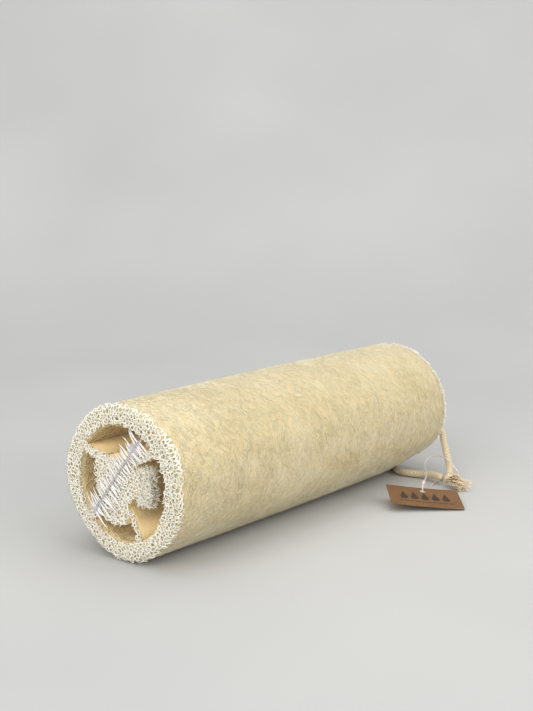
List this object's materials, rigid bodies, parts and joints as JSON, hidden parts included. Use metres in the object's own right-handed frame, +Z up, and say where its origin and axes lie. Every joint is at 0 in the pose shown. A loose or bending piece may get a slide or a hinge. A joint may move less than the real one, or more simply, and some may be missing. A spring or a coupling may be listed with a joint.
{
  "type": "loofah back scrubber",
  "caption": "Natural loofah scrubber in clear shrink film, with a knotted cord hanging loop and a card tag hinged on a nylon loop pin.",
  "frame": {"origin": "bottom centre of the film-wrapped loofah, on the surface it rests on", "axes": "+X along the loofah towards its corded end, +Z up; the cord loop and the tag lie on the -Y side"},
  "size_m": [0.2724, 0.1355, 0.0841],
  "materials": {
    "loofah_fibre": "dry matted plant fibre",
    "loofah_web": "dry matted plant fibre, paler",
    "loofah_core": "dry open plant fibre",
    "shrink_film": "clear glossy shrink film",
    "cotton_cord": "braided cotton, matt",
    "kraft_card": "uncoated brown kraft card",
    "clear_nylon": "clear nylon"
  },
  "bodies": {
    "loofah": {"loofah_wall": "loofah_fibre", "loofah_core": "loofah_core", "web_upper_left": "loofah_web", "web_upper_right": "loofah_web", "web_lower_right": "loofah_web", "web_lower_left": "loofah_web", "film_sleeve": "shrink_film", "film_near_end": "shrink_film", "film_end_seam": "shrink_film", "film_far_lip": "shrink_film", "cord_threaded": "cotton_cord", "cord_leg_front": "cotton_cord", "cord_leg_rear": "cotton_cord", "cord_knot": "cotton_cord", "frayed_tail_front": "cotton_cord", "frayed_tail_rear": "cotton_cord", "pin_filament": "clear_nylon", "pin_lock": "clear_nylon"},
    "tag": {"tag_card": "kraft_card"}
  },
  "joints": [
    {"name": "tag_flap", "type": "hinge", "parent": "loofah", "child": "tag", "pos_m": [0.063, -0.06333, 0.0066], "axis": [-0.6877, 0.7171, 0.1132], "range_deg": [0, 60]}
  ]
}
